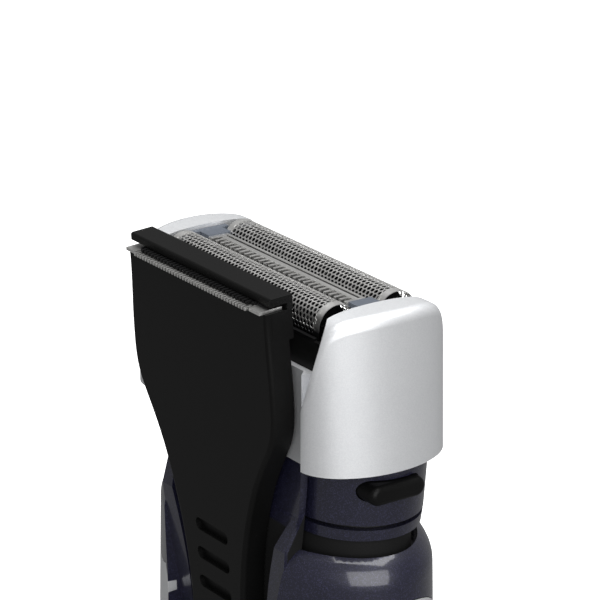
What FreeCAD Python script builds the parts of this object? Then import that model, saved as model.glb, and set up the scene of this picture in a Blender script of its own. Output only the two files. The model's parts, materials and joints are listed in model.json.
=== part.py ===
import FreeCAD, Part
import math
import os

# Two-foil electric shaver with a tipping head and a pop-up long-hair trimmer.
# Millimetres. Origin: centre of the flat rest face under the base. +Z up,
# X along the foils, -Y the trimmer side, +Y the switch side.

V = FreeCAD.Vector

# ---- driving dimensions -------------------------------------------------
# handle
body_height = 114.0          # base to the shoulder's top
body_half_width = 27.4       # at the shoulder
body_half_depth = 15.3
body_mid_y = 1.0             # the handle and the drive stand a little behind the head
shoulder_radius = 5.0
base_radius = 2.0
housing_wall = 3.0
panel_thickness = 1.5        # silver side panels let into the housing wall
shoulder_lip = 2.4           # width of the shoulder around the neck opening
base_cap_height = 7.0
# head
head_rise = 35.0             # shoulder's top to the middle trimmer's bars
head_half_width = 27.8
cassette_margin = 3.4        # foil's side to the head's flat front and back
head_height = 22.0           # middle trimmer's bars to the head's lower edge
cheek_gap = 1.55             # foil's end to the cheek
head_wall = 1.8
cheek_round = 1.7            # outer rim of each cheek
foil_radius = 3.2
foil_rise = 1.0              # foil's crown above the middle trimmer's bars
foil_half_length = 19.6
foil_thickness = 0.25
foil_travel = 1.2
middle_half_width = 1.9
middle_travel = 0.5
cutter_gap = 0.2             # lamella to foil
cutter_stroke = 0.9          # each way
lamella_pitch = 1.0
# trimmer
trimmer_half_width = 18.1
trimmer_length = 58.0
trimmer_thickness = 3.6
trimmer_travel = 9.0
trimmer_lean = 3.565         # degrees, top outwards
trimmer_stand = 0.4          # slider's back to the head's front, at the height of the bars
comb_pitch = 0.707
# fits
gap = 0.35                   # between bodies that pass each other
slide_fit = 0.06             # radial, for shafts and guide rods
button_gap = 0.15

# ---- derived levels -----------------------------------------------------
bars = body_height + head_rise
frame_bottom = bars - head_height
pivot_z = body_height - 6.0
groove_z = body_height + 4.0
skirt_bottom = body_height - 3.3
foil_centre_z = bars + foil_rise - foil_radius
foil_spacing = foil_radius + middle_half_width - 0.1      # foil's centre from the head's centre line
head_half_depth = foil_spacing + foil_radius + cassette_margin
trimmer_face_y = -head_half_depth - trimmer_stand - trimmer_thickness   # at the height of the bars
cheek_inner = foil_half_length + cheek_gap
head_flat = trimmer_half_width + 2.1      # half-length of the head's flat front and back
horn_depth = trimmer_thickness + 1.1      # depth of the track's upper horns behind the slider's face
horn_top = -22.6                          # their top, in the trimmer's frame
neck_front = trimmer_face_y + horn_depth + 1.65 + math.sin(math.radians(trimmer_lean)) * -horn_top
neck_back = head_half_depth
neck_half_width = body_half_width - shoulder_lip + 0.15
skirt_half_width = body_half_width - shoulder_lip - 1.4


# ---- helpers --------------------------------------------------------------
def box(xs, ys, zs):
    return Part.makeBox(xs[1] - xs[0], ys[1] - ys[0], zs[1] - zs[0], V(xs[0], ys[0], zs[0]))


def rod(radius, start, direction, length):
    return Part.makeCylinder(radius, length, V(*start), V(*direction))


def mirrored(shape):
    return shape.mirror(V(0, 0, 0), V(1, 0, 0))


def pair(shape):
    return Part.makeCompound([shape, mirrored(shape)])


def end_arc(flat, reach, mid, half, z, side):
    """Half an ellipse that closes one end of a plan outline."""
    arc = Part.makeCircle(1.0, V(0, 0, 0), V(0, 0, 1), -90, 90)
    matrix = FreeCAD.Matrix()
    matrix.scale(side * reach, half, 1)
    matrix.move(V(side * flat, mid, z))
    return arc.transformGeometry(matrix)


def plan(z, flat, width, front, back):
    """Closed outline with a flat front and back and half-elliptical ends."""
    mid = (front + back) / 2
    half = (back - front) / 2
    edges = [end_arc(flat, width - flat, mid, half, z, 1),
             Part.makeLine(V(flat, back, z), V(-flat, back, z)),
             end_arc(flat, width - flat, mid, half, z, -1),
             Part.makeLine(V(-flat, front, z), V(flat, front, z))]
    return Part.Wire(Part.__sortEdges__(edges))


def plan_loft(low, high, inset=0.0):
    wires = [plan(z, flat, width - inset, front + inset, back - inset)
             for z, flat, width, front, back in (low, high)]
    return Part.makeLoft(wires, True)


def oval(z, half_width, half_depth):
    return Part.Wire(Part.Ellipse(V(0, body_mid_y, z), half_width, half_depth).toShape())


def prism_x(points, xs):
    """Closed outline of (y, z) points, pulled along X."""
    wire = Part.makePolygon([V(xs[0], y, z) for y, z in points + points[:1]])
    return Part.Face(wire).extrude(V(xs[1] - xs[0], 0, 0))


def pill_x(xs, y, z, half_length, half_height):
    """Round-ended bar along Y, pulled along X."""
    straight = half_length - half_height
    middle = box(xs, (y - straight, y + straight), (z - half_height, z + half_height))
    reach = xs[1] - xs[0]
    ends = [rod(half_height, (xs[0], y + side * straight, z), (1, 0, 0), reach) for side in (-1, 1)]
    return middle.fuse(ends).removeSplitter()


def on_trimmer(shape):
    """Move a shape from the trimmer's own frame (face at y = 0) to its leaning place."""
    moved = shape.copy()
    lean = FreeCAD.Rotation(V(1, 0, 0), trimmer_lean)
    moved.Placement = FreeCAD.Placement(V(0, trimmer_face_y, bars), lean)
    return moved


def leaf(points, bottom, end_radius, ys):
    """Symmetric plate: a spline down each side, a rounded lower end."""
    side = Part.BSplineCurve()
    side.interpolate([V(x, ys[0], z) for x, z in points])
    low_x = points[-1][0]
    corner = V(low_x, ys[0], bottom + end_radius)
    tip = V(low_x - end_radius, ys[0], bottom)
    bend = 1 - math.sqrt(0.5)
    mid = V(low_x - end_radius * bend, ys[0], bottom + end_radius * bend)
    right = [side.toShape(), Part.makeLine(V(low_x, ys[0], points[-1][1]), corner),
             Part.Arc(corner, mid, tip).toShape()]
    left = [mirrored(edge) for edge in right]
    top = V(points[0][0], ys[0], points[0][1])
    closing = [Part.makeLine(top, V(-top.x, top.y, top.z)),
               Part.makeLine(tip, V(-tip.x, tip.y, tip.z))]
    wire = Part.Wire(Part.__sortEdges__(right + left + closing))
    return Part.Face(wire).extrude(V(0, ys[1] - ys[0], 0))


def edges_where(shape, test):
    return [edge for edge in shape.Edges if test(edge)]


# ---- handle ---------------------------------------------------------------
def handle_solid(inset):
    """The handle's outer form, drawn in by an inset on every side."""
    sides = [(0.0, -4.6, -2.4), (16.0, -2.0, -1.1), (50.0, 0.6, 0.3),
             (body_height - 22.0, 0.4, 0.2), (body_height, -0.2, -0.1)]
    wires = []
    for z, wider, deeper in sides:
        level = inset if z == 0.0 else min(z, body_height - inset)
        if z == body_height:
            level = body_height - inset
        wires.append(oval(level, body_half_width + wider - inset, body_half_depth + deeper - inset))
    solid = Part.makeLoft(wires, True)
    top = edges_where(solid, lambda e: e.BoundBox.ZMin > body_height - inset - 0.01)
    solid = solid.makeFillet(shoulder_radius - inset, top)
    if inset < base_radius:
        low = edges_where(solid, lambda e: e.BoundBox.ZMax < inset + 0.01)
        solid = solid.makeFillet(base_radius - inset, low)
    return solid


def neck_opening(top, bottom):
    low = oval(bottom, body_half_width - shoulder_lip, body_half_depth - shoulder_lip)
    return Part.Face(low).extrude(V(0, 0, top - bottom))


track_half_width = trimmer_half_width - 5.2


def track_sides():
    """Outer edge of the trimmer's track, (x, z) in the trimmer's frame."""
    w = track_half_width
    return [(w + 4.3, -22.0), (w + 4.2, -27.0), (w + 3.8, -31.0), (w + 3.0, -37.0),
            (w + 1.5, -45.0), (w + 0.15, -52.0), (w, -58.0)]


def pocket_sides():
    """Edge of the recess that the lowered slider drops into."""
    w = trimmer_half_width
    return [(w + 0.5, -21.5), (w - 0.3, -27.0), (w - 3.0, -32.0), (w - 5.2, -37.5),
            (w - 7.2, -44.5), (w - 8.3, -52.0), (w - 8.5, -58.0)]


track_bottom = -(trimmer_length + trimmer_travel + 4.0)
pocket_bottom = -(trimmer_length + trimmer_travel + 0.8)
floor_depth = trimmer_thickness + gap
track_depth = floor_depth + 0.9
rim_depth = 1.9
horn_foot = -36.0            # the rim leans back to the neck above this
horn_knee = -31.0


def track_prism(ys):
    return on_trimmer(leaf(track_sides(), track_bottom, 8.0, ys))


def panel_region(clearance):
    """The stretch of the handle that a silver side panel covers, as a solid."""
    inner = track_half_width + 0.2
    edge = inner + clearance
    top = body_height - 13.2 - clearance
    points = [V(edge, -40, base_cap_height), V(edge, -40, top - 5.3), V(inner + 1.5, -40, top),
              V(inner + 7.0, -40, top + 0.5), V(body_half_width - 3.0, -40, top + 3.8),
              V(body_half_width + 9.0, -40, top + 4.4), V(body_half_width + 9.0, -40, base_cap_height)]
    corner = Part.Arc(points[1], points[1] + V(0.45, 0, 3.7), points[2]).toShape()
    sweep = Part.BSplineCurve()
    sweep.interpolate(points[2:6])
    edges = [Part.makeLine(points[0], points[1]), corner, sweep.toShape(),
             Part.makeLine(points[5], points[6]), Part.makeLine(points[6], points[0])]
    return Part.Face(Part.Wire(edges)).extrude(V(0, 80, 0))


switch_z = body_height - 43.0
lens_z = switch_z - 14.0
switch_radius = 5.6


def housing_blank():
    shell = handle_solid(0).cut(handle_solid(housing_wall))
    shell = shell.cut(neck_opening(body_height + 1, body_height - housing_wall - 3))
    skin = handle_solid(0).cut(handle_solid(panel_thickness))
    shell = shell.cut(skin.common(panel_region(0)))
    shell = shell.cut(skin.common(mirrored(panel_region(0))))
    return shell.cut(box((-40, 40), (-40, 40), (-1, base_cap_height)))


def make_front_housing(blank):
    front = blank.common(box((-40, 40), (-40, body_mid_y), (0, body_height + 5)))
    return front.cut(track_prism((-9, track_depth)))


def make_rear_housing(blank):
    rear = blank.common(box((-40, 40), (body_mid_y, 40), (0, body_height + 5)))
    rear = rear.cut(rod(switch_radius + button_gap, (0, 8, switch_z), (0, 1, 0), 20))
    return rear.cut(rod(1.6, (0, 8, lens_z), (0, 1, 0), 20))


def make_side_panel():
    skin = handle_solid(0).cut(handle_solid(panel_thickness))
    return skin.common(panel_region(0.12))


def make_trimmer_track():
    """Plate behind the slider with a raised rim that follows the slider's outline."""
    plate = leaf(track_sides(), track_bottom, 8.0, (rim_depth, horn_depth + 2))
    section = prism_x([(rim_depth, track_bottom - 1), (rim_depth, horn_foot),
                       (horn_depth - 0.6, horn_knee), (horn_depth, horn_top),
                       (horn_depth + 1.2, horn_top), (track_depth, horn_foot),
                       (track_depth, track_bottom - 1)], (-30, 30))
    pocket = leaf(pocket_sides(), pocket_bottom, 7.0, (rim_depth - 1, floor_depth))
    return on_trimmer(plate.common(section).cut(pocket))


socket_half = (5.6, 4.0)
socket_y = body_mid_y + 5.2
socket_top = 14.0
socket_floor = 10.0
socket_mouth = 0.6
screw_x = body_half_width - 11.4


def make_base_cap():
    cap = handle_solid(0).common(box((-40, 40), (-40, 40), (-1, base_cap_height)))
    sx, sy = socket_half
    cap = cap.cut(box((-sx, sx), (socket_y - sy, socket_y + sy), (-1, 10)))
    for side in (-1, 1):
        cap = cap.cut(rod(1.1, (side * screw_x, body_mid_y, -1), (0, 0, 1), 10))
        cap = cap.cut(rod(2.3, (side * screw_x, body_mid_y, -1), (0, 0, 1), 2.8))
    return cap


def make_base_screws():
    screw = rod(1.1, (screw_x, body_mid_y, 1.8), (0, 0, 1), 12.0)
    head = rod(2.15, (screw_x, body_mid_y, 0.5), (0, 0, 1), 1.3)
    slot = box((screw_x - 3, screw_x + 3), (body_mid_y - 0.3, body_mid_y + 0.3), (0, 1.0))
    cross = box((screw_x - 0.3, screw_x + 0.3), (body_mid_y - 1.4, body_mid_y + 1.4), (0, 1.0))
    return pair(screw.fuse(head).cut(slot).cut(cross))


def make_charging_socket():
    sx, sy = socket_half
    block = box((-sx, sx), (socket_y - sy, socket_y + sy), (socket_mouth, socket_top))
    mouth = box((-sx + 1.6, sx - 1.6), (socket_y - sy + 1.4, socket_y + sy - 1.4),
                (socket_mouth - 1, socket_floor))
    round_edges = edges_where(mouth, lambda e: e.BoundBox.ZLength > 5)
    block = block.cut(mouth.makeFillet(1.5, round_edges))
    for side in (-1, 1):
        block = block.cut(rod(0.8, (side * 2.0, socket_y, socket_floor - 1), (0, 0, 1), 9))
    return block


def make_socket_pins():
    return pair(rod(0.8, (2.0, socket_y, 5.0), (0, 0, 1), socket_top - 5.0))


cell_radius = min((body_half_width - housing_wall - 10.4) / 2, body_half_depth - housing_wall - 5.3)
cell_length = 49.5
cell_bottom = socket_top + 2.0
cell_x = cell_radius + 0.3
cell_y = body_mid_y - 2.2
board_y = (body_mid_y + 8.3, body_mid_y + 9.5)


def make_battery_cradle():
    """Tray over the base that carries the cells and takes the base screws."""
    reach = cell_radius + 0.2
    tray = box((-cell_x - reach, cell_x + reach), (cell_y - reach, socket_y - 0.2), (socket_top, socket_top + 1.2))
    arm = box((cell_x, screw_x + 2.4), (body_mid_y - 2.4, body_mid_y + 2.4), (socket_top, socket_top + 1.2))
    boss = rod(2.4, (screw_x, body_mid_y, base_cap_height), (0, 0, 1), socket_top + 1.2 - base_cap_height)
    tray = tray.fuse([arm, mirrored(arm), boss, mirrored(boss)])
    for side in (-1, 1):
        tray = tray.cut(rod(1.1, (side * screw_x, body_mid_y, 0), (0, 0, 1), 20))
    return tray.common(handle_solid(housing_wall + 0.3)).removeSplitter()


def make_battery_cells():
    cell = rod(cell_radius, (cell_x, cell_y, cell_bottom), (0, 0, 1), cell_length - 1.2)
    tip = rod(2.6, (cell_x, cell_y, cell_bottom + cell_length - 1.2), (0, 0, 1), 1.2)
    return pair(cell.fuse(tip))


def make_battery_contacts():
    strip = box((-cell_x - 4, cell_x + 4), (cell_y - 3, cell_y + 3), (0, 0.5))
    low = strip.copy()
    low.translate(V(0, 0, cell_bottom - 0.5))
    high = strip.copy()
    high.translate(V(0, 0, cell_bottom + cell_length))
    return Part.makeCompound([low, high])


def make_circuit_board():
    board = box((-9, 9), board_y, (socket_top + 6, switch_z + 5))
    chip = box((-5, 3), (board_y[0] - 1.4, board_y[0]), (socket_top + 26, socket_top + 32))
    relay = box((-6, 6), (board_y[0] - 2.6, board_y[0]), (socket_top + 10, socket_top + 20))
    tact = box((-2.4, 2.4), (board_y[1], board_y[1] + 1.2), (switch_z - 2.4, switch_z + 2.4))
    lamp = box((-1, 1), (board_y[1], board_y[1] + 1.2), (lens_z - 1, lens_z + 1))
    return board.fuse([chip, relay, tact, lamp])


def make_light_lens():
    lens = rod(1.6, (0, body_mid_y + 10.9, lens_z), (0, 1, 0), 9)
    return lens.common(handle_solid(0.15))


def make_power_button():
    face = handle_solid(-0.7).common(rod(switch_radius, (0, 8, switch_z), (0, 1, 0), 20))
    stem_start = board_y[1] + 1.2 + 0.9
    face = face.cut(box((-10, 10), (0, body_mid_y + body_half_depth - housing_wall + 0.6), (0, 200)))
    stem_end = body_mid_y + body_half_depth - 1.5
    stem = rod(1.4, (0, stem_start, switch_z), (0, 1, 0), stem_end - stem_start)
    return face.fuse(stem).removeSplitter()


motor_top = body_height - 15.0
motor_length = 32.0
track_slope = math.sin(math.radians(trimmer_lean))
motor_front = trimmer_face_y + track_depth - track_bottom * track_slope + 0.25
carrier_z = (motor_top, motor_top + 2.0)
carrier_half = body_half_width - housing_wall - 1.2
ear_x = (body_half_width - 7.4, body_half_width - 5.6)
lug_x = (ear_x[0] - 2.4, ear_x[0] - 0.4)
pin_reach = ear_x[1] + 0.2
pivot_pin_radius = 1.5


def make_motor_can():
    can = rod(10.2, (0, body_mid_y, motor_top - motor_length), (0, 0, 1), motor_length)
    can = can.common(box((-12, 12), (motor_front, body_mid_y + 7.5), (0, 200)))
    rim = edges_where(can, lambda e: e.BoundBox.ZLength < 0.01)
    can = can.makeFillet(0.8, rim)
    return can.cut(rod(1.0 + slide_fit, (0, body_mid_y, motor_top - 10), (0, 0, 1), 20))


def make_pivot_carrier():
    """Shelf over the motor with two ears that bear the head's pivot pins."""
    shelf = box((-carrier_half, carrier_half), (body_mid_y - 7.0, body_mid_y + 8.0), carrier_z)
    inside = handle_solid(housing_wall + 0.3)
    shelf = shelf.common(inside)
    ear = box(ear_x, (body_mid_y - 3.0, body_mid_y + 3.0), (carrier_z[0], pivot_z + 2.3))
    ear = ear.cut(rod(pivot_pin_radius + slide_fit, (ear_x[0] - 1, body_mid_y, pivot_z), (1, 0, 0), 5))
    shelf = shelf.fuse([ear, mirrored(ear)])
    return shelf.cut(rod(4.4, (0, body_mid_y, 0), (0, 0, 1), 200)).removeSplitter()


# ---- drive ----------------------------------------------------------------
hub_z = (motor_top + 2.4, pivot_z - 2.6)
pin_radius = 0.8
pin_top = pivot_z + 2.0


def make_motor_shaft():
    start = motor_top - 9.5
    return rod(1.0, (0, body_mid_y, start), (0, 0, 1), hub_z[0] + 2.0 - start)


def make_eccentric_hub():
    hub = rod(3.2, (0, body_mid_y, hub_z[0]), (0, 0, 1), hub_z[1] - hub_z[0])
    hub = hub.cut(rod(1.0, (0, body_mid_y, hub_z[0] - 1), (0, 0, 1), 3.0))
    return hub.cut(rod(pin_radius, (cutter_stroke, body_mid_y, hub_z[1] - 1.5), (0, 0, 1), 4))


def make_eccentric_pin():
    start = hub_z[1] - 1.5
    return rod(pin_radius, (cutter_stroke, body_mid_y, start), (0, 0, 1), pin_top - start)


bridge_z = (frame_bottom + 0.7, bars - 17.0)
rod_y = 5.5
rod_z = bars - 19.6
rod_radius = 1.0
peg_radius = 0.8
fork_inner = cutter_stroke * 2 + pin_radius + 0.25
fork_outer = fork_inner + 1.8
cutter_bottom = foil_centre_z - 4.3


def make_drive_bridge():
    """Slides on two rods; its fork takes the eccentric pin, its pegs carry the cutters."""
    block = box((-9, 9), (-7.2, 7.2), bridge_z)
    stem = box((-fork_outer, fork_outer), (body_mid_y - 2, body_mid_y + 2), (pivot_z - 1.8, bridge_z[0]))
    slot = box((-fork_inner, fork_inner), (body_mid_y - 3, body_mid_y + 3), (pivot_z - 3, pin_top + 1.5))
    bridge = block.fuse(stem).cut(slot)
    for side in (-1, 1):
        bridge = bridge.cut(rod(rod_radius + slide_fit, (-20, side * rod_y, rod_z), (1, 0, 0), 40))
        peg = rod(peg_radius, (0, side * foil_spacing, bridge_z[1]), (0, 0, 1),
                  cutter_bottom + 1.4 - bridge_z[1])
        bridge = bridge.fuse(peg)
    return bridge


def make_cutter_spring(y):
    height = cutter_bottom - bridge_z[1]
    outer = rod(1.5, (0, y, bridge_z[1]), (0, 0, 1), height)
    return outer.cut(rod(1.1, (0, y, bridge_z[1]), (0, 0, 1), height))


cutter_half_length = foil_half_length - 2.0
lamella_radius = foil_radius - foil_thickness - cutter_gap
core_half = 1.15


def make_cutter_core(y):
    core = box((-cutter_half_length, cutter_half_length), (y - core_half, y + core_half),
               (cutter_bottom, foil_centre_z - 0.4))
    return core.cut(rod(peg_radius + 0.08, (0, y, cutter_bottom - 1), (0, 0, 1), 1.0 + foil_travel + 1.9))


def make_cutter_blades(y):
    """Row of half-round lamellas that straddle the core."""
    count = int(2 * (cutter_half_length - 0.5) / lamella_pitch)
    blades = []
    for i in range(count + 1):
        x = (i - count / 2) * lamella_pitch
        disc = rod(lamella_radius, (x - 0.15, y, foil_centre_z), (1, 0, 0), 0.3)
        lower = box((x - 1, x + 1), (y - 4, y + 4), (foil_centre_z - 5, foil_centre_z - 1.2))
        notch = box((x - 1, x + 1), (y - core_half, y + core_half), (foil_centre_z - 5, foil_centre_z - 0.4))
        blades.append(disc.cut(lower).cut(notch))
    return Part.makeCompound(blades)


# ---- neck -----------------------------------------------------------------
neck_flat = 14.0
groove = 0.8                 # open line between collar and ring
collar_top = (frame_bottom - 0.1, neck_flat + 1, head_half_width - 1.6, neck_front, neck_back - 0.5)
collar_low = (groove_z, neck_flat, neck_half_width, neck_front, neck_back - 0.5)
ring_top = (groove_z - groove, neck_flat, neck_half_width - 0.3, neck_front + 0.2, neck_back - 0.5)
ring_low = (groove_z - 2.5, neck_flat, neck_half_width - 0.6, neck_front + 0.3, neck_back - 0.7)
skirt_top = (groove_z - 2.5, neck_flat - 1.5, skirt_half_width, neck_front + 0.6, neck_back - 1.7)
skirt_low = (skirt_bottom, neck_flat - 1.5, skirt_half_width, neck_front + 0.6, neck_back - 1.7)
neck_wall = 1.6
release_z = frame_bottom - 3.5
release_half = (4.65, 1.5)
release_out = head_half_width - 0.7
release_y = (neck_front + neck_back) / 2 - 1.5
release_in = min(head_half_width, neck_half_width + 2.65) - 9.2
flange_margin = 0.5
chassis_half = min(cheek_inner, body_half_width - 5.85) - 1.65


def make_neck_collar():
    collar = plan_loft(collar_low, collar_top).cut(plan_loft(collar_low, collar_top, neck_wall))
    length, height = release_half
    hole = pill_x((15, 40), release_y, release_z, length + button_gap, height + button_gap)
    return collar.cut(hole).cut(mirrored(hole)).removeSplitter()


def make_neck_sleeve():
    """Black sleeve inside the collar and the ring; it shows in the groove between them."""
    low = (groove_z - 2.1,) + collar_low[1:]
    top = (groove_z + 0.8,) + collar_low[1:]
    return plan_loft(low, top, neck_wall).cut(plan_loft(low, top, neck_wall + 1))


def make_neck_ring():
    ring = plan_loft(ring_low, ring_top).fuse(plan_loft(skirt_low, skirt_top))
    spigot_low = (groove_z - 2.15,) + collar_low[1:]
    spigot_top = (groove_z + 1,) + collar_low[1:]
    ring = ring.cut(plan_loft(spigot_low, spigot_top, neck_wall - 0.05))
    inside_low = (skirt_bottom - 1,) + skirt_low[1:]
    inside_top = (groove_z + 1,) + skirt_low[1:]
    return ring.cut(plan_loft(inside_low, inside_top, neck_wall - 0.2)).removeSplitter()


def make_release_button():
    length, height = release_half
    cap = pill_x((release_in, release_out), release_y, release_z, length, height)
    outer = edges_where(cap, lambda e: e.BoundBox.XMin > release_out - 0.01)
    cap = cap.makeFillet(0.9, outer)
    flange = pill_x((release_in, release_in + 0.8), release_y, release_z,
                    length + flange_margin, height + flange_margin)
    return cap.fuse(flange).removeSplitter()


def make_neck_chassis():
    """Tub inside the neck that holds the guide rods and the pivot pins."""
    low = (groove_z + 0.8,) + collar_low[1:]
    core = plan_loft(low, collar_top, neck_wall + 0.35)
    inner_front = neck_front + neck_wall + 0.35
    link = box((-chassis_half, chassis_half), (inner_front + 1.1, 8.0), (frame_bottom - 0.6, frame_bottom + 0.6))
    upper = box((-chassis_half, chassis_half), (-8.2, 8.2), (frame_bottom + 0.1, bars - 17.2))
    tub = core.fuse([link, upper]).common(box((-chassis_half, chassis_half), (-20, 20), (0, 300)))
    hollow = box((-chassis_half + 1.6, chassis_half - 1.6), (-7.6, 7.6), (frame_bottom + 0.4, bars))
    low_hollow = box((-14, 14), (neck_front + neck_wall + 1.4, 7.6), (groove_z + 1.8, bars))
    tub = tub.cut(hollow).cut(low_hollow)
    stem_way = fork_outer + cutter_stroke + 0.6
    tub = tub.cut(box((-stem_way, stem_way), (body_mid_y - 2.7, body_mid_y + 2.7), (0, bars)))
    window = pill_x((14, 30), release_y, release_z, release_half[0] + 0.9, release_half[1] + 0.9)
    tub = tub.cut(window).cut(mirrored(window))
    lug = box(lug_x, (body_mid_y - 3, body_mid_y + 3), (pivot_z - 3, groove_z + 1.8))
    tub = tub.fuse([lug, mirrored(lug)])
    for side in (-1, 1):
        tub = tub.cut(rod(rod_radius, (-30, side * rod_y, rod_z), (1, 0, 0), 60))
    return tub.cut(rod(pivot_pin_radius, (-30, body_mid_y, pivot_z), (1, 0, 0), 60)).removeSplitter()


def make_pivot_pins():
    return pair(rod(pivot_pin_radius, (lug_x[0], body_mid_y, pivot_z), (1, 0, 0), pin_reach - lug_x[0]))


def make_guide_rods():
    rods = [rod(rod_radius, (-chassis_half, side * rod_y, rod_z), (1, 0, 0), 2 * chassis_half)
            for side in (-1, 1)]
    return Part.makeCompound(rods)


def make_drive_seal():
    """Rubber diaphragm on the chassis floor, around the bridge's stem."""
    way = fork_outer + cutter_stroke + 0.25
    seal = box((-13.8, 13.8), (neck_front + neck_wall + 1.6, 7.4), (groove_z + 1.8, groove_z + 2.6))
    return seal.cut(box((-way, way), (body_mid_y - 2.3, body_mid_y + 2.3), (0, bars)))


# ---- head -----------------------------------------------------------------
cheek_top = 0.75
wall_top = bars - 8.0
front_wall = 0.9             # the head frame's wall behind the trimmer
cassette_half = cheek_inner - 0.15
cassette_bottom = bars - 16.0
cassette_wall_top = bars - 3.6
cassette_y = (foil_spacing + foil_radius + 0.2, foil_spacing + foil_radius + 0.8)


def cheek_profile():
    """Side outline of the cheeks, (y, z) up one side and over the top."""
    d = head_half_depth
    half = [(-d - 1, frame_bottom - 1), (-d - 1, bars - 14), (-d, bars - 12), (-d + 0.5, bars - 7),
            (-d + 1.2, bars - 3.2), (-d + 2.1, bars - 1.4), (-d + 3.4, bars - 0.25), (-6.0, bars + 0.4),
            (-3.0, bars + 0.68)]
    back = [(-y, z) for y, z in reversed(half)]
    return half, back


def rounded_side_block():
    half, back = cheek_profile()
    curve = Part.BSplineCurve()
    points = [V(-40, y, z) for y, z in half[2:] + [(0, bars + cheek_top)] + back[:-2]]
    curve.interpolate(points)
    low = [points[-1], V(-40, back[-2][0], back[-2][1]), V(-40, *back[-1]), V(-40, *half[0]),
           V(-40, *half[1]), points[0]]
    edges = [curve.toShape()] + [Part.makeLine(a, b) for a, b in zip(low, low[1:])]
    return Part.Face(Part.Wire(edges)).extrude(V(80, 0, 0))


def corner_chamfer():
    """Half-space that slants off a cheek's inner front corner, more towards the top."""
    low = V(head_flat - 0.2, -head_half_depth, bars - 13.5)
    inner = V(head_flat + 0.3, -head_half_depth + 2.9, bars - 4.0)
    outer = V(head_flat + 3.4, -head_half_depth + 1.4, bars - 1.3)
    normal = (inner - low).cross(outer - low)
    if normal.y > 0:
        normal = normal.negative()
    block = Part.makeBox(60, 60, 30, V(-30, -30, 0))
    block.Placement = FreeCAD.Placement(low, FreeCAD.Rotation(V(0, 0, 1), normal))
    return block.common(box((head_flat - 0.5, 40), (-40, 0), (bars - 14, bars + 5)))


def make_head_frame():
    bottom = (frame_bottom, head_flat, head_half_width, -head_half_depth, head_half_depth)
    top = (bars + 2, head_flat, head_half_width - 1.3, -head_half_depth, head_half_depth)
    frame = plan_loft(bottom, top).common(rounded_side_block())
    rims = edges_where(frame, lambda e: e.BoundBox.ZMax > bars - 3 and abs(e.BoundBox.Center.x) > head_flat / 2)
    frame = frame.makeFillet(cheek_round, rims)
    chamfer = corner_chamfer()
    rear = chamfer.mirror(V(0, 0, 0), V(0, 1, 0))
    for cut in (chamfer, mirrored(chamfer), rear, mirrored(rear)):
        frame = frame.cut(cut)
    depth = cassette_y[1] + 0.05
    frame = frame.cut(box((-cheek_inner, cheek_inner), (-depth, depth), (0, bars + 9)))
    frame = frame.cut(box((-cheek_inner, cheek_inner), (-40, 40), (wall_top, bars + 9)))
    wall_y = -depth - front_wall
    corner = head_half_depth + wall_y
    recess = [V(-head_flat - 1, wall_y - corner - 1, 0), V(-head_flat + corner, wall_y, 0),
              V(head_flat - corner, wall_y, 0), V(head_flat + 1, wall_y - corner - 1, 0)]
    frame = frame.cut(Part.Face(Part.makePolygon(recess + recess[:1])).extrude(V(0, 0, bars + 9)))
    hollow_top = (bars - 5, head_flat, head_half_width - 1.0, -head_half_depth, head_half_depth)
    hollow = plan_loft(bottom, hollow_top, head_wall)
    cheek_hollow = hollow.common(box((cheek_inner + 1.4, 40), (-40, 40), (0, bars + 9)))
    return frame.cut(cheek_hollow).cut(mirrored(cheek_hollow))


end_wall_top = bars - 1.0


def make_foil_cassette():
    outer = box((-cassette_half, cassette_half), (-cassette_y[1], cassette_y[1]),
                (cassette_bottom, end_wall_top))
    inner_x = foil_half_length + 0.3
    cassette = outer.cut(box((-inner_x, inner_x), (-cassette_y[0], cassette_y[0]), (0, bars + 9)))
    cassette = cassette.cut(box((-inner_x, inner_x), (-20, 20), (cassette_wall_top, bars + 9)))
    for side in (-1, 1):
        corner = box((-30, 30), (7.1, 20), (cassette_wall_top, bars + 9))
        cassette = cassette.cut(corner if side > 0 else corner.mirror(V(0, 0, 0), V(0, 1, 0)))
    notch = box((-30, 30), (-3.4, 3.4), (bars - 4.2 - middle_travel - 0.3, bars + 9))
    return cassette.cut(notch)


def make_cassette_strips():
    strip = box((-foil_half_length, foil_half_length), (cassette_y[0], cassette_y[1]),
                (cassette_wall_top, cassette_wall_top + 0.4))
    return Part.makeCompound([strip, strip.mirror(V(0, 0, 0), V(0, 1, 0))])


def make_foil(y):
    """Thin arched sheet with straight skirts."""
    def arch(radius):
        dome = rod(radius, (-foil_half_length, y, foil_centre_z), (1, 0, 0), 2 * foil_half_length)
        skirt = box((-foil_half_length, foil_half_length), (y - radius, y + radius),
                    (foil_centre_z - 4.0, foil_centre_z))
        upper = dome.common(box((-40, 40), (y - 9, y + 9), (foil_centre_z, bars + 9)))
        return upper.fuse(skirt)
    return arch(foil_radius).cut(arch(foil_radius - foil_thickness)).removeSplitter()


bar_half_length = foil_half_length - 1.9
bar_thickness = 0.4
middle_wall_half = middle_half_width - 0.4


def slotted_plate(half_length, ys, zs, pitch, slot, slot_ys):
    plate = box((-half_length, half_length), ys, zs)
    count = int(2 * (half_length - 1.0) / pitch)
    slots = []
    for i in range(count + 1):
        x = (i - count / 2) * pitch
        slots.append(box((x - slot / 2, x + slot / 2), slot_ys, (zs[0] - 1, zs[1] + 1)))
    return plate.cut(Part.makeCompound(slots))


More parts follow.
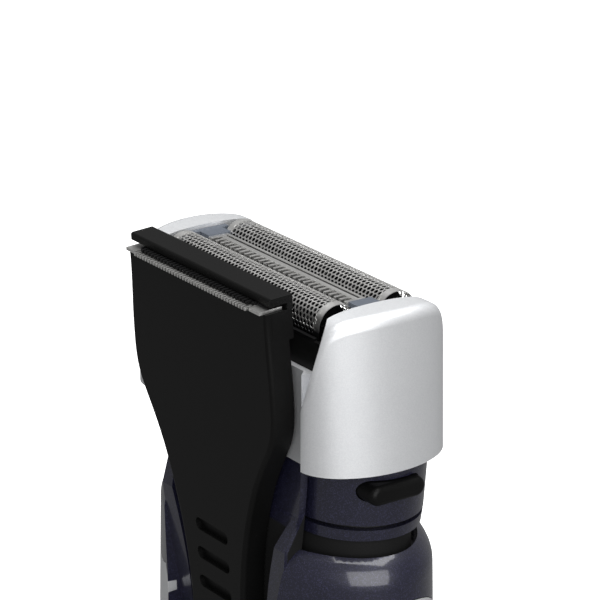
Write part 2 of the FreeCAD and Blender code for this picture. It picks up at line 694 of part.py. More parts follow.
def make_middle_comb():
    """Fixed guard of the middle trimmer: a slotted roof on two thin walls."""
    w = middle_half_width
    roof = slotted_plate(bar_half_length, (-w, w - 0.5), (bars - bar_thickness, bars), 1.25, 0.72, (-w - 1, -0.4))
    roof = roof.cut(box((1 - bar_half_length, bar_half_length - 1), (0.45, 0.85), (bars - 1, bars + 1)))
    m = middle_wall_half
    wall = box((-bar_half_length, bar_half_length), (m - 0.4, m), (bars - 4.0, bars - bar_thickness))
    front = wall.mirror(V(0, 0, 0), V(0, 1, 0))
    front = front.common(box((-40, 40), (-5, 5), (0, bars - 1.6)))
    ends = box((bar_half_length - 0.6, bar_half_length), (-m, m), (bars - 4.0, bars - bar_thickness))
    return roof.fuse([wall, front, ends, mirrored(ends)])


def make_middle_end_blocks():
    x0 = bar_half_length
    x1 = cassette_half
    top = bars + 0.2
    block = box((x0, x1), (-middle_wall_half, middle_wall_half), (bars - 4.0, top))
    lid = box((x0, x1), (-middle_half_width, middle_half_width), (bars - bar_thickness, top))
    wide = box((foil_half_length + 0.35, x1), (-3.1, 3.1), (bars - 4.0, top))
    return pair(block.fuse([lid, wide]).removeSplitter())


def make_middle_blade():
    half = bar_half_length - cutter_stroke - 0.75
    top = bars - bar_thickness - 0.1
    return slotted_plate(half, (-middle_half_width + 0.3, 0.9), (top - 0.5, top), 1.25, 0.6,
                         (-middle_half_width, -0.6))


# ---- pop-up trimmer ----------------------------------------------------------
slider_top = 0.9
cap_z = (slider_top + 1.05, 3.05)
comb_z = (slider_top, slider_top + 0.45)
blade_z = (comb_z[1] + 0.05, comb_z[1] + 0.5)


def slider_sides():
    """Edge of the slider from under its cap down to the grip, (x, z)."""
    w = trimmer_half_width
    return [(w - 0.4, slider_top), (w - 0.1, -8.0), (w, -13.0), (w - 0.7, -17.9), (w - 2.9, -22.0),
            (w - 5.4, -26.3), (w - 7.8, -32.0), (w - 9.2, -36.5), (w - 10.4, -42.0), (w - 11.2, -50.0)]


groove_z_list = [-37.7 - 4.6 * i for i in range(4)]


def make_trimmer_slider():
    plate = leaf(slider_sides(), -trimmer_length, 5.5, (0.0, trimmer_thickness))
    front = edges_where(plate, lambda e: e.BoundBox.YMax < 0.01 and e.BoundBox.ZMin < -1)
    plate = plate.makeFillet(0.6, front)
    half = trimmer_half_width - 0.4
    shelf = box((-half, half), (1.0, trimmer_thickness + 0.8), (-3.5, slider_top))
    plate = plate.fuse(shelf)
    for z in groove_z_list:
        half = 4.2
        slot = box((-half + 0.95, half - 0.95), (-1, 0.8), (z - 0.95, z + 0.95))
        ends = [rod(0.95, (side * (half - 0.95), -1, z), (0, 1, 0), 1.8) for side in (-1, 1)]
        plate = plate.cut(slot.fuse(ends))
    return on_trimmer(plate.removeSplitter())


def make_trimmer_cap():
    """Bar over the comb, closed at the back."""
    half = trimmer_half_width - 0.2
    back_y = trimmer_thickness + 0.8
    roof = box((-half, half), (0.75, back_y), cap_z)
    back = box((-half, half), (back_y - 0.9, back_y), (slider_top, cap_z[1]))
    cap = roof.fuse(back).removeSplitter()
    top = edges_where(cap, lambda e: e.BoundBox.ZMin > cap_z[1] - 0.05 and e.BoundBox.YMax < back_y - 0.1)
    cap = cap.makeFillet(0.35, top)
    return on_trimmer(cap)


def comb_outline(teeth, pitch, tip, root, width, tab):
    """Comb's plan outline, (x, y): square teeth along the front, a plain tab at each end."""
    half = (teeth - 1) / 2 * pitch
    points = []
    back = 3.1
    for i in range(teeth):
        x = -half + i * pitch
        points += [(x - width / 2, root), (x - width / 2, tip), (x + width / 2, tip), (x + width / 2, root)]
    edge = half + tab
    return [(-edge, back), (-edge, tip + 0.4), (-half - pitch * 0.75, tip + 0.4),
            (-half - pitch * 0.75, root)] + points + [
            (half + pitch * 0.75, root), (half + pitch * 0.75, tip + 0.4), (edge, tip + 0.4), (edge, back)]


def plate_z(points, zs):
    wire = Part.makePolygon([V(x, y, zs[0]) for x, y in points + points[:1]])
    return Part.Face(wire).extrude(V(0, 0, zs[1] - zs[0]))


comb_teeth = int(2 * (trimmer_half_width - 3.9) / comb_pitch) + 1


def make_trimmer_comb():
    outline = comb_outline(comb_teeth, comb_pitch, -1.05, 0.5, 0.4, 3.0)
    return on_trimmer(plate_z(outline, comb_z))


blade_pitch = 0.84
blade_teeth = int(2 * (trimmer_half_width - 4.6) / blade_pitch) + 1


def make_trimmer_blade():
    outline = comb_outline(blade_teeth, blade_pitch, -0.25, 0.9, 0.45, 0.9)
    blade = plate_z(outline, blade_z)
    return on_trimmer(blade.cut(box((-40, 40), (2.6, 9), (0, 9))))


# ---- assembly -----------------------------------------------------------------
def build():
    blank = housing_blank()
    panel = make_side_panel()
    button = make_release_button()
    parts = {
        "front_housing": make_front_housing(blank),
        "rear_housing": make_rear_housing(blank),
        "right_side_panel": panel,
        "left_side_panel": mirrored(panel),
        "trimmer_track": make_trimmer_track(),
        "base_cap": make_base_cap(),
        "base_screws": make_base_screws(),
        "charging_socket": make_charging_socket(),
        "socket_pins": make_socket_pins(),
        "battery_cradle": make_battery_cradle(),
        "battery_cells": make_battery_cells(),
        "battery_contacts": make_battery_contacts(),
        "circuit_board": make_circuit_board(),
        "light_lens": make_light_lens(),
        "power_button": make_power_button(),
        "motor_can": make_motor_can(),
        "pivot_carrier": make_pivot_carrier(),
        "motor_shaft": make_motor_shaft(),
        "eccentric_hub": make_eccentric_hub(),
        "eccentric_pin": make_eccentric_pin(),
        "drive_bridge": make_drive_bridge(),
        "front_cutter_spring": make_cutter_spring(-foil_spacing),
        "rear_cutter_spring": make_cutter_spring(foil_spacing),
        "front_cutter_core": make_cutter_core(-foil_spacing),
        "front_cutter_blades": make_cutter_blades(-foil_spacing),
        "rear_cutter_core": make_cutter_core(foil_spacing),
        "rear_cutter_blades": make_cutter_blades(foil_spacing),
        "neck_collar": make_neck_collar(),
        "neck_sleeve": make_neck_sleeve(),
        "neck_ring": make_neck_ring(),
        "neck_chassis": make_neck_chassis(),
        "pivot_pins": make_pivot_pins(),
        "guide_rods": make_guide_rods(),
        "drive_seal": make_drive_seal(),
        "right_release_button": button,
        "left_release_button": mirrored(button),
        "head_frame": make_head_frame(),
        "foil_cassette": make_foil_cassette(),
        "cassette_strips": make_cassette_strips(),
        "front_foil": make_foil(-foil_spacing),
        "rear_foil": make_foil(foil_spacing),
        "middle_comb": make_middle_comb(),
        "middle_end_blocks": make_middle_end_blocks(),
        "middle_blade": make_middle_blade(),
        "trimmer_slider": make_trimmer_slider(),
        "trimmer_cap": make_trimmer_cap(),
        "trimmer_comb": make_trimmer_comb(),
        "trimmer_blade": make_trimmer_blade(),
    }
    return parts


os.makedirs("parts", exist_ok=True)
for name, shape in build().items():
    if not shape.isValid():
        print("invalid", name)
    print(name, len(shape.Solids), round(shape.Volume, 1))
    shape.exportStep("parts/" + name + ".step")
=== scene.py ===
# %% [markdown]
# # An electric shaver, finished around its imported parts
# The shells, head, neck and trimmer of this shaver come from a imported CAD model, which is loaded
# here as a fixed frame in metres. This lesson adds what the eye notes first: the pierced foils, the
# steel of the combs, the lacquers, and a plain studio to look at it in.

# %% Load the frame
import bpy
import json
import math
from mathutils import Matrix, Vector


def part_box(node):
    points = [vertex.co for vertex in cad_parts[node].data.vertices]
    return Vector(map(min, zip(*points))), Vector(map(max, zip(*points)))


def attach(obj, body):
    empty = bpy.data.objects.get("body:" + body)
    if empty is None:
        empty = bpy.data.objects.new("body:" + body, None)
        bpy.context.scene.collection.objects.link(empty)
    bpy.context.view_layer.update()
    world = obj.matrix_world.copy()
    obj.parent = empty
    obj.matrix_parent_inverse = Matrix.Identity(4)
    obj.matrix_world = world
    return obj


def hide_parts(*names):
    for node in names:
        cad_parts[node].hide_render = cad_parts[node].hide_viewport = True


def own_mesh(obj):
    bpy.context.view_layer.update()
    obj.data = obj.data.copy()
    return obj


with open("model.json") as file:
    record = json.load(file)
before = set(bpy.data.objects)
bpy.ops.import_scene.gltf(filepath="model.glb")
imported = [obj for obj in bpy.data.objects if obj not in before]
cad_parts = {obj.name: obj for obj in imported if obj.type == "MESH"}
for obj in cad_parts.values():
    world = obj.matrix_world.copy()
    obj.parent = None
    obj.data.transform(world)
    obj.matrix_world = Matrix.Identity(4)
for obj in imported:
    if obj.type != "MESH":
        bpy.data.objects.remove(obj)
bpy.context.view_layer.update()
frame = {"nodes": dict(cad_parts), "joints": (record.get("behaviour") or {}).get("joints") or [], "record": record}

MM = 0.001

# %% [markdown]
# ## Where things are
# A place can be typed in or measured. Every place here is measured from the frame, so that it
# follows the part: a node's box gives its lowest and highest corner. Most heights are counted down
# from the top of the bar between the foils.

# %% Places read from the frame
bars_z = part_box("middle_comb")[1][2]
comb_front_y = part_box("trimmer_comb")[0][1]
print("bars at", round(bars_z / MM, 2), "mm, trimmer's comb at", round(comb_front_y / MM, 2), "mm")

# %% [markdown]
# ## Shader maths as plain Python
# A material is a small graph of nodes. They could be added and linked one by one, but sums and
# products are easier to read. This class wraps one socket, and each operator adds the Math node
# that does it. Every node, Math or not, comes from add_node.

# %% One way to add a node
def plug(tree, slot, value):
    """Links a Wave to an input, or sets the input to a plain value."""
    if isinstance(value, Wave):
        tree.links.new(value.socket, slot)
    else:
        slot.default_value = value


def add_node(tree, kind, settings=None, sockets=None, output=0):
    """Adds a node: its settings first, then its inputs and its output, by name or number."""
    made = tree.nodes.new("ShaderNode" + kind)
    for name, value in (settings or {}).items():
        setattr(made, name, value)
    for name, value in (sockets or {}).items():
        plug(tree, made.inputs[name], value)
    return Wave(tree, made.outputs[output])


# %% A socket that can be added and multiplied
class Wave:
    """One output socket of a material's node tree, with arithmetic."""

    def __init__(self, tree, socket):
        self.tree = tree
        self.socket = socket

    def math(self, operation, *values, clamp=False):
        settings = {"operation": operation, "use_clamp": clamp}
        return add_node(self.tree, "Math", settings, dict(enumerate(values)))

    def __add__(self, other):
        return self.math("ADD", self, other)

    def __radd__(self, other):
        return self.math("ADD", other, self)

    def __sub__(self, other):
        return self.math("SUBTRACT", self, other)

    def __rsub__(self, other):
        return self.math("SUBTRACT", other, self)

    def __mul__(self, other):
        return self.math("MULTIPLY", self, other)

    def __rmul__(self, other):
        return self.math("MULTIPLY", other, self)

    def above(self, edge, soft):
        """0 below the edge, 1 above it, with a soft step between."""
        return self.math("MULTIPLY_ADD", self, 1 / soft, 0.5 - edge / soft, clamp=True)

    def below(self, edge, soft):
        """1 below the edge, 0 above it, with a soft step between."""
        return self.math("MULTIPLY_ADD", self, -1 / soft, 0.5 + edge / soft, clamp=True)


# %% [markdown]
# ## What every finish shares
# Each finish is a Principled shader whose constants are set on its own sockets. Patterns are read
# in the object's own coordinates, so they stay on the piece when it moves.

# %% A shader with its constants
def finish_of(name, base, roughness, metallic=0.0, **constants):
    """A Principled material with its constants set on the shader's own sockets."""
    made = bpy.data.materials.new(name)
    made.use_nodes = True
    shader = made.node_tree.nodes["Principled BSDF"]
    shader.inputs["Base Color"].default_value = (*base, 1)
    shader.inputs["Roughness"].default_value = roughness
    shader.inputs["Metallic"].default_value = metallic
    for key, value in constants.items():
        shader.inputs[key.replace("_", " ")].default_value = value
    return made, made.node_tree, shader


# %% Patterns
def object_coords(tree):
    return add_node(tree, "TexCoord", output="Object")


def axis_of(tree, where, axis):
    return add_node(tree, "SeparateXYZ", sockets={"Vector": where}, output=axis)


def noise(tree, where, scale, detail=2.0):
    return add_node(tree, "TexNoise", sockets={"Vector": where, "Scale": scale, "Detail": detail})


def cell_brightness(tree, where, scale):
    """A random brightness for each of many small cells."""
    cells = add_node(tree, "TexVoronoi", sockets={"Vector": where, "Scale": scale}, output="Color")
    return add_node(tree, "SeparateColor", sockets={"Color": cells})


def bump_into(tree, shader, height, strength, distance):
    """Feeds a height pattern to the shader's normal."""
    sockets = {"Height": height, "Strength": strength, "Distance": distance}
    plug(tree, shader.inputs["Normal"], add_node(tree, "Bump", sockets=sockets))


# %% Mixing two colours
colour_a, colour_b, colour_result = 6, 7, 2      # the Mix node's sockets for colours


def colours_between(tree, factor, low, high):
    """low where the factor is 0, high where it is 1: each a colour, or a Wave of one."""
    low, high = (c if isinstance(c, Wave) else (*c, 1) for c in (low, high))
    sockets = {"Factor": factor, colour_a: low, colour_b: high}
    return add_node(tree, "Mix", {"data_type": "RGBA"}, sockets, output=colour_result)


# %% [markdown]
# ## Navy flake lacquer
# The handle and the neck are moulded in dark plastic and sprayed with a navy lacquer full of fine
# metal flakes under a clear coat. A plain noise would look cloudy, so the flakes are cells about a
# tenth of a millimetre across, each with its own brightness: they sparkle where light strikes.
# On some navy parts shade is painted near-black in places, so the lacquer takes a mask that says where.

# %% Navy flake lacquer
def navy_flake(name="navy_flake_lacquer", painted_shade_where=None):
    """The optional mask, given tree and where, is 1 where shade is painted near-black."""
    coat = 0.8
    made, tree, shader = finish_of(name, (0.008, 0.008, 0.022), 0.34, 0.25,
                                   Coat_Weight=coat, Coat_Roughness=0.10)
    where = object_coords(tree)
    sparkle = cell_brightness(tree, where, 9500.0)
    flakes = sparkle.above(0.82, 0.20)
    cloud = noise(tree, where, 240.0, 3.0)
    depth = flakes * 0.5 + cloud * 0.15
    colour = colours_between(tree, depth, (0.005, 0.005, 0.015), (0.05, 0.05, 0.11))
    roughness = 0.42 - flakes * 0.08
    if painted_shade_where:
        # painted shade: near-black, rougher and without clear coat where the mask is 1
        painted_shade = painted_shade_where(tree, where)
        colour = colours_between(tree, painted_shade, colour, (0.002, 0.002, 0.0022))
        roughness = roughness + painted_shade * 0.4
        plug(tree, shader.inputs["Coat Weight"], coat - painted_shade * coat)
    plug(tree, shader.inputs["Base Color"], colour)
    plug(tree, shader.inputs["Roughness"], roughness)
    bump_into(tree, shader, sparkle, 0.05, 0.00002)
    return made


# %% Where shade is painted black on a navy part
trimmer_lean = math.radians(3.565)
face_y = comb_front_y + 1.15 * MM        # the slider's face, at the height of the bars
rim_depth = 2.4 * MM                     # painted shade starts this far behind the face; the lacquered rim lies in front
rim_deepens = 36.0 * MM                  # below the bars; higher up the painted shade starts further in
# painted shade on the neck ring's skirt starts this far below the bars
skirt_below_bars = 33.5 * MM


def track_recess(tree, where):
    """Painted shade in the pocket of the track, behind its lacquered rim."""
    along = axis_of(tree, where, "Z") - bars_z
    across = axis_of(tree, where, "Y") * math.cos(trimmer_lean) + along * math.sin(trimmer_lean)
    depth = across - face_y * math.cos(trimmer_lean)
    rise = (along + rim_deepens) * 0.5
    allowance = rise.math("MAXIMUM", rise, 0.0)
    return (depth - allowance).above(rim_depth, 0.2 * MM)


def ring_skirt(tree, where):
    """Painted shade under the neck ring, where its skirt goes down into the handle."""
    return axis_of(tree, where, "Z").below(bars_z - skirt_below_bars, 0.1 * MM)


print("skirt is black below", round((bars_z - skirt_below_bars) / MM, 1), "mm")

# %% [markdown]
# ## Satin silver lacquer
# The head frame and the side panels are silver lacquer: finer flakes, no hard shine, a soft
# gradient from light to grey over each curve. A metallic shader with a broad roughness gives that.

# %% Satin silver lacquer
def satin_silver():
    made, tree, shader = finish_of("satin_silver_lacquer", (0.72, 0.73, 0.745), 0.42, 0.6,
                                   Coat_Weight=0.2, Coat_Roughness=0.2)
    where = object_coords(tree)
    grain = cell_brightness(tree, where, 9000.0)
    cloud = noise(tree, where, 120.0, 3.0)
    tone = grain * 0.5 + cloud * 0.3
    plug(tree, shader.inputs["Base Color"],
         colours_between(tree, tone, (0.66, 0.67, 0.69), (0.79, 0.80, 0.81)))
    plug(tree, shader.inputs["Roughness"], 0.40 + grain * 0.10)
    bump_into(tree, shader, grain, 0.06, 0.00003)
    return made


# %% [markdown]
# ## Black satin plastic
# The trimmer's slider, the buttons and the cassette are black plastic with a very fine
# spark-eroded texture, a little shinier where fingers rub it: a fine noise for the texture, a slow
# one for the wear.

# %% Black satin plastic
def black_satin():
    made, tree, shader = finish_of("black_satin_plastic", (0.003, 0.003, 0.003), 0.40,
                                   Specular_IOR_Level=0.12)
    where = object_coords(tree)
    texture = noise(tree, where, 6500.0)
    wear = noise(tree, where, 90.0, 4.0)
    plug(tree, shader.inputs["Base Color"],
         colours_between(tree, wear, (0.003, 0.003, 0.003), (0.006, 0.006, 0.006)))
    plug(tree, shader.inputs["Roughness"], 0.34 + wear * 0.12)
    bump_into(tree, shader, texture, 0.10, 0.00004)
    return made


# %% [markdown]
# ## Bright and ground steel
# Foils are electroformed nickel, bright and nearly smooth, with painted shade darkening the lower
# side. Combs and bars are ground steel: fine scratches run along X, so the noise is stretched along
# that axis before it is read.

# %% Nickel of the foils
def bright_nickel():
    made, tree, shader = finish_of("bright_nickel_foil", (0.78, 0.775, 0.76), 0.22, 1.0)
    where = object_coords(tree)
    cloud = noise(tree, where, 500.0, 3.0)
    # painted shade: the foil's lower side turns near-black a little under the bars
    painted_shade_below = axis_of(tree, where, "Z").below(bars_z - 2.2 * MM, 0.9 * MM)
    bright = colours_between(tree, cloud, (0.84, 0.835, 0.82), (0.95, 0.945, 0.93))
    plug(tree, shader.inputs["Base Color"],
         colours_between(tree, painted_shade_below, bright, (0.06, 0.06, 0.062)))
    plug(tree, shader.inputs["Roughness"], 0.30 + cloud * 0.14)
    return made


# %% Ground steel
def ground_steel(name, low, high, rough):
    made, tree, shader = finish_of(name, low, rough, 1.0)
    where = object_coords(tree)
    along_x = {"Vector": where, "Scale": (60.0, 2600.0, 2600.0)}
    scratches = noise(tree, add_node(tree, "Mapping", sockets=along_x), 1.0, 3.0)
    plug(tree, shader.inputs["Base Color"], colours_between(tree, scratches, low, high))
    plug(tree, shader.inputs["Roughness"], scratches * 0.22 + (rough - 0.1))
    bump_into(tree, shader, scratches, 0.15, 0.00002)
    return made


# %% [markdown]
# ## The rest of the finishes
# Rubber, slate plastic, the pale carrier, cell film, circuit board and the light's lens all show
# the same faint mottle of a moulded surface, so one function makes them, each with its own colour,
# roughness and size of mottle.

# %% Moulded surfaces
def moulded(name, low, high, rough, scale=900.0, transmission=0.0):
    made, tree, shader = finish_of(name, low, rough, Transmission_Weight=transmission)
    where = object_coords(tree)
    mottle = noise(tree, where, scale, 3.0)
    plug(tree, shader.inputs["Base Color"], colours_between(tree, mottle, low, high))
    plug(tree, shader.inputs["Roughness"], mottle * 0.15 + (rough - 0.07))
    bump_into(tree, shader, mottle, 0.08, 0.00003)
    return made


# %% One finish for each material slot
finishes = {
    "navy_shell": navy_flake(),
    "silver_shell": satin_silver(),
    "black_trim": black_satin(),
    "dark_seal": moulded("seal_rubber", (0.012, 0.012, 0.012), (0.022, 0.022, 0.022), 0.7, 3000.0),
    "slate_plastic": moulded("slate_plastic", (0.07, 0.08, 0.10), (0.10, 0.115, 0.14), 0.42, 2500.0),
    "foil_steel": bright_nickel(),
    "blade_steel": ground_steel("ground_blade_steel", (0.72, 0.715, 0.70), (0.90, 0.895, 0.88), 0.34),
    "pale_plastic": moulded("pale_acetal", (0.62, 0.62, 0.60), (0.72, 0.72, 0.69), 0.4),
    "spring_steel": ground_steel("spring_steel", (0.45, 0.45, 0.45), (0.6, 0.6, 0.6), 0.32),
    "motor_steel": ground_steel("zinc_plated_steel", (0.55, 0.56, 0.57), (0.68, 0.69, 0.70), 0.36),
    "cell_jacket": moulded("cell_film", (0.03, 0.16, 0.09), (0.05, 0.22, 0.12), 0.3),
    "board": moulded("solder_mask", (0.015, 0.10, 0.04), (0.02, 0.14, 0.06), 0.35),
    "lens": moulded("light_lens", (0.55, 0.75, 0.55), (0.65, 0.85, 0.65), 0.15, 500.0, transmission=0.5),
    "pin_brass": ground_steel("plated_brass", (0.62, 0.47, 0.22), (0.75, 0.6, 0.32), 0.28),
}
print(len(finishes), "finishes")

# %% [markdown]
# ## Finishes onto the CAD parts
# Each CAD node keeps its shape and takes the finish that its material slot names. A few are told
# apart: shade is painted onto cutters and blades as near-black steel, and black onto two navy parts.

# %% Give every CAD node its finish
slot_of = {row["node"]: row["material_slot"] for row in frame["record"]["subparts"]}
# painted shade: cutters and blades seen through the foils and combs are near-black steel
painted_shade_steel = ground_steel("painted_shade_cutter_steel", (0.012, 0.012, 0.013), (0.03, 0.03, 0.031), 0.5)
dark_nodes = ("front_cutter_blades", "rear_cutter_blades", "front_cutter_core", "rear_cutter_core",
              "middle_blade", "trimmer_blade")
special = {name: painted_shade_steel for name in dark_nodes}
# painted shade: the ring's skirt and the track's pocket turn black through their masks
special["neck_ring"] = navy_flake("navy_ring", ring_skirt)
special["trimmer_track"] = navy_flake("navy_track", track_recess)
for node_name, node_object in frame["nodes"].items():
    finish = special.get(node_name, finishes[slot_of[node_name]])
    node_object.data.materials.clear()
    node_object.data.materials.append(finish)
print(len(frame["nodes"]), "nodes finished,", len(special), "of them apart")

# %% [markdown]
# ## The foils
# A foil is a sheet of nickel a few hundredths thick, pierced all over in a staggered pattern and
# sprung over an arch. A picture of holes would look flat at the edges, so the holes are real. By
# hand one would lay out a honeycomb, inset every cell, drop the middles out and roll the sheet over
# its former. That is what this does: one six-sided cell, arrays to repeat it, inset and delete, and
# a last step that rolls the flat sheet to the arch.

# %% Helpers for edit mode
def fresh_start(*chosen):
    """Object mode, with only the chosen pieces selected and the first of them active."""
    if bpy.context.object and bpy.context.object.mode != "OBJECT":
        bpy.ops.object.mode_set(mode="OBJECT")
    bpy.ops.object.select_all(action="DESELECT")
    for piece in chosen:
        piece.select_set(True)
    if chosen:
        bpy.context.view_layer.objects.active = chosen[0]


def apply_all(piece):
    fresh_start(piece)
    for modifier in list(piece.modifiers):
        bpy.ops.object.modifier_apply(modifier=modifier.name)


def face_outwards(smooth_degrees):
    """Turns the active piece's faces outwards and smooths all but its sharp edges."""
    bpy.ops.object.mode_set(mode="EDIT")
    bpy.ops.mesh.select_all(action="SELECT")
    bpy.ops.mesh.normals_make_consistent(inside=False)
    bpy.ops.object.mode_set(mode="OBJECT")
    bpy.ops.object.shade_smooth_by_angle(angle=math.radians(smooth_degrees))


def settle(piece, name, finish, body):
    """Freezes the piece's place into its mesh, names it and sends it along with its body."""
    fresh_start(piece)
    bpy.ops.object.transform_apply(location=True, rotation=True, scale=True)
    piece.name = name
    piece.data.name = name
    piece.data.materials.clear()
    piece.data.materials.append(finish)
    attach(piece, body)
    print(name, len(piece.data.polygons), "faces")


# %% A flat honeycomb sheet
hole_pitch = 0.84 * MM           # along the foil
row_pitch = 0.70 * MM            # over the arch
bridge_width = 0.20 * MM         # metal left between two holes
foil_sheet = 0.10 * MM           # a real foil is thinner, but this one needs walls that show
plain_end = 1.1 * MM
plain_skirt = 1.2 * MM
margin_drop = 0.012 * MM         # margins lie this far under the pierced part


def honeycomb(columns, rows):
    """Flat sheet of staggered holes in the XY plane, laid out from the origin towards +X and +Y."""
    fresh_start()
    bpy.ops.mesh.primitive_circle_add(vertices=6, radius=1.0, fill_type="NGON", location=(0, 0, 0))
    sheet = bpy.context.object
    bpy.ops.object.mode_set(mode="EDIT")
    bpy.ops.transform.resize(value=(hole_pitch / math.sqrt(3), row_pitch / 1.5, 1))
    bpy.ops.object.mode_set(mode="OBJECT")
    for count, step in ((2, (hole_pitch / 2, row_pitch, 0)), (columns, (hole_pitch, 0, 0)),
                        (rows // 2, (0, 2 * row_pitch, 0))):
        array = sheet.modifiers.new("repeat", "ARRAY")
        array.count = count
        array.use_relative_offset = False
        array.use_constant_offset = True
        array.constant_offset_displace = step
    apply_all(sheet)
    bpy.ops.object.mode_set(mode="EDIT")
    bpy.ops.mesh.select_all(action="SELECT")
    bpy.ops.mesh.remove_doubles(threshold=0.02 * MM)
    bpy.ops.mesh.inset(thickness=bridge_width / 2, use_individual=True)
    bpy.ops.mesh.delete(type="FACE")
    bpy.ops.object.mode_set(mode="OBJECT")
    return sheet


# %% Roll the sheet over its former
def roll_over(sheet, radius, centre_y, centre_z, middle_x):
    """Each point's Y is a length along the foil's section: over the arch, then straight down."""
    quarter = radius * math.pi / 2
    for vertex in sheet.data.vertices:
        x, along, out = vertex.co
        side = 1 if along >= 0 else -1
        arc = min(abs(along), quarter)
        angle = arc / radius
        reach = radius + out
        y = centre_y + side * reach * math.sin(angle)
        z = centre_z + reach * math.cos(angle) - (abs(along) - arc)
        vertex.co = (middle_x + x, y, z)


# %% [markdown]
# The plain margins of the foil, its two ends and its lower skirts, are the same sheet without
# holes. They lie a hair under the pierced part so that its ragged edge is covered neatly.

# %% Plain margins
def plain_strip(x_range, along_range, cells):
    """Flat strip in the XY plane, subdivided across so that it can be rolled."""
    fresh_start()
    bpy.ops.mesh.primitive_plane_add(size=1, location=(0, 0, 0))
    strip = bpy.context.object
    bpy.ops.object.mode_set(mode="EDIT")
    bpy.ops.mesh.subdivide(number_cuts=cells)
    bpy.ops.transform.resize(value=(x_range[1] - x_range[0], along_range[1] - along_range[0], 1))
    bpy.ops.transform.translate(value=(sum(x_range) / 2, sum(along_range) / 2, 0))
    bpy.ops.object.mode_set(mode="OBJECT")
    return strip


# %% One foil: pierced field, plain margins
def make_foil(node, body, name):
    low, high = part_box(node)
    radius = (high[1] - low[1]) / 2
    centre_z = high[2] - radius
    half_length = (high[0] - low[0]) / 2
    half_section = radius * math.pi / 2 + (centre_z - low[2])
    columns = int(2 * (half_length - plain_end) / hole_pitch)
    rows = int(2 * (half_section - plain_skirt) / row_pitch) // 2 * 2
    field = honeycomb(columns, rows)
    span_x = (columns - 0.5) * hole_pitch
    span_y = (rows - 1) * row_pitch
    for vertex in field.data.vertices:
        vertex.co.x -= span_x / 2
        vertex.co.y -= span_y / 2
    field.data.update()
    edge_x = span_x / 2 - hole_pitch * 0.08
    edge_y = span_y / 2 - row_pitch * 0.10
    margins = [plain_strip((edge_x, half_length), (-half_section, half_section), 60),
               plain_strip((-half_length, -edge_x), (-half_section, half_section), 60),
               plain_strip((-edge_x, edge_x), (edge_y, half_section), 8),
               plain_strip((-edge_x, edge_x), (-half_section, -edge_y), 8)]
    for strip in margins:
        for vertex in strip.data.vertices:
            vertex.co.z -= margin_drop
    fresh_start(field, *margins)
    bpy.ops.object.join()
    roll_over(field, radius - foil_sheet, (low[1] + high[1]) / 2, centre_z, (low[0] + high[0]) / 2)
    thick = field.modifiers.new("thickness", "SOLIDIFY")
    thick.thickness = foil_sheet
    thick.offset = 1.0
    apply_all(field)
    face_outwards(35)
    settle(field, name, finishes["foil_steel"], body)
    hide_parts(node)


make_foil("front_foil", "front_foil", "front_foil_pierced")
make_foil("rear_foil", "rear_foil", "rear_foil_pierced")

# %% [markdown]
# ## The two cutter springs
# A small coil pushes each cutter up against its foil. A sleeve would do where it is out of sight,
# but it shows when the head is lifted off, so it is wound: one round section of wire, screwed
# about the spring's axis. When a foil is pressed in, its cutter goes down and the coil would shorten
# towards its seat; here the travel of that movement is only read and printed.

# %% Wind the cutter springs
wire = 0.17 * MM
turns = 9
wire_sides = 10
steps_per_turn = 32


def wind_spring(node, body, joint_name, name):
    low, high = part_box(node)
    height = high[2] - low[2]
    fresh_start()
    bpy.ops.mesh.primitive_circle_add(vertices=wire_sides, radius=wire, rotation=(math.pi / 2, 0, 0))
    spring = bpy.context.object
    bpy.ops.object.transform_apply(rotation=True)
    bpy.ops.object.mode_set(mode="EDIT")
    bpy.ops.transform.translate(value=((high[0] - low[0]) / 2 - wire, 0, wire))
    bpy.ops.object.mode_set(mode="OBJECT")
    coil = spring.modifiers.new("coil", "SCREW")
    coil.axis = "Z"
    coil.iterations = turns
    coil.screw_offset = (height - 2 * wire) / turns
    coil.steps = steps_per_turn
    coil.render_steps = steps_per_turn
    apply_all(spring)
    bpy.ops.object.mode_set(mode="EDIT")
    bpy.ops.mesh.select_all(action="SELECT")
    bpy.ops.mesh.fill_holes(sides=wire_sides)
    face_outwards(40)
    spring.location = ((low[0] + high[0]) / 2, (low[1] + high[1]) / 2, low[2])
    settle(spring, name, finishes["spring_steel"], body)
    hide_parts(node)
    travel = next(joint for joint in frame["joints"] if joint["name"] == joint_name)["range_m"][1]
    (height - travel) / height
    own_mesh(spring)
    print("gives way by", round(travel / MM, 2), "mm of", round(height / MM, 2))


wind_spring("front_cutter_spring", "bridge", "front_cutter_float", "front_cutter_coil")
wind_spring("rear_cutter_spring", "bridge", "rear_cutter_float", "rear_cutter_coil")

# %% [markdown]
# ## A plain studio
# Polished foils mirror whatever is round them, so the room is kept simple: a pale glowing floor
# that doesn't light or mirror into the shaver, one large soft light overhead, one fill to the
# right, and a dim even room.

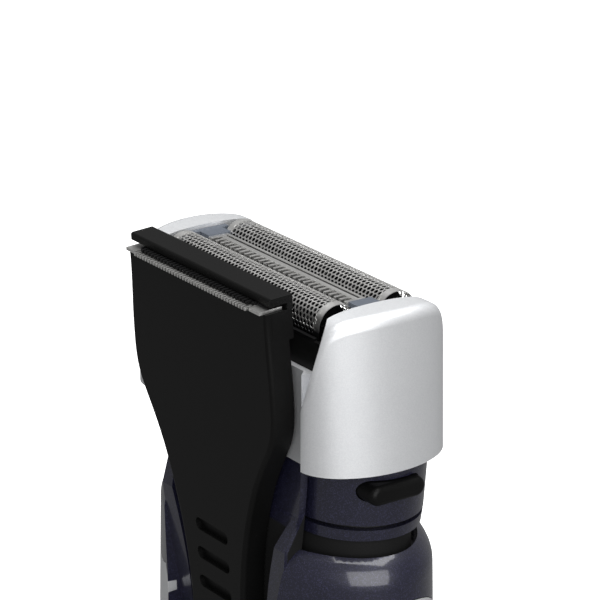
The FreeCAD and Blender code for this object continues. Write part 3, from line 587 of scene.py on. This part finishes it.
# %% Floor
floor_finish, _, floor_shader = finish_of("studio_paper", (0.92, 0.92, 0.92), 0.9)
fresh_start()
bpy.ops.mesh.primitive_plane_add(size=1, location=(0, 0, 0))
floor = bpy.context.object
bpy.ops.object.mode_set(mode="EDIT")
bpy.ops.transform.resize(value=(6, 6, 1))
bpy.ops.object.mode_set(mode="OBJECT")
floor.name = "studio_floor"
floor.data.materials.append(floor_finish)
floor_shader.inputs["Emission Color"].default_value = (1, 1, 1, 1)
floor_shader.inputs["Emission Strength"].default_value = 0.95
floor.visible_glossy = False         # a lit sheet of paper, kept out of the reflections
floor.visible_diffuse = False
print("floor", [round(side, 1) for side in floor.dimensions])


# %% Lights
def soft_light(name, place, target, size, power):
    lamp = bpy.data.lights.new(name, "AREA")
    lamp.shape = "RECTANGLE"
    lamp.size, lamp.size_y = size
    lamp.energy = power
    holder = bpy.data.objects.new(name, lamp)
    bpy.context.scene.collection.objects.link(holder)
    holder.location = place
    holder.rotation_mode = "QUATERNION"
    holder.rotation_quaternion = (Vector(target) - Vector(place)).to_track_quat("-Z", "Y")


centre = (0, 0, bars_z * 0.8)
soft_light("overhead", (0.05, 0.05, bars_z + 0.5), centre, (0.5, 0.5), 4.6)
soft_light("right_fill", (0.6, -0.25, bars_z + 0.2), centre, (0.7, 0.6), 4.6)
world = bpy.data.worlds.new("studio_room")
bpy.context.scene.world = world
world.use_nodes = True
world.node_tree.nodes["Background"].inputs["Color"].default_value = (1, 1, 1, 1)
world.node_tree.nodes["Background"].inputs["Strength"].default_value = 0.24
bpy.context.scene.view_settings.view_transform = "Standard"

# %% [markdown]
# ## The camera
# A long lens, a little above the foils, turned well round to the right-hand cheek. The camera
# looks past the top of the shaver, so the handle runs out of the frame below.

# %% Camera
view_turn = math.radians(55.56)      # 0 would look straight at the trimmer's side
view_rise = math.radians(19.39)
view_distance = 0.465
aim_right, aim_up = 1.79 * MM, -4.76 * MM
back = Vector((math.sin(view_turn) * math.cos(view_rise), -math.cos(view_turn) * math.cos(view_rise),
               math.sin(view_rise)))
right = Vector((math.cos(view_turn), math.sin(view_turn), 0))
up = back.cross(right)
lens = bpy.data.cameras.new("camera")
lens.lens = 196.2
lens.sensor_width = 36.0
lens.clip_start = 0.01
camera = bpy.data.objects.new("camera", lens)
bpy.context.scene.collection.objects.link(camera)
camera.location = Vector((0, 0, bars_z)) + back * view_distance + right * aim_right + up * aim_up
camera.rotation_mode = "QUATERNION"
camera.rotation_quaternion = (-back).to_track_quat("-Z", "Y")
bpy.context.scene.camera = camera
print("camera at", [round(c, 3) for c in camera.location], "with a", lens.lens, "mm lens")
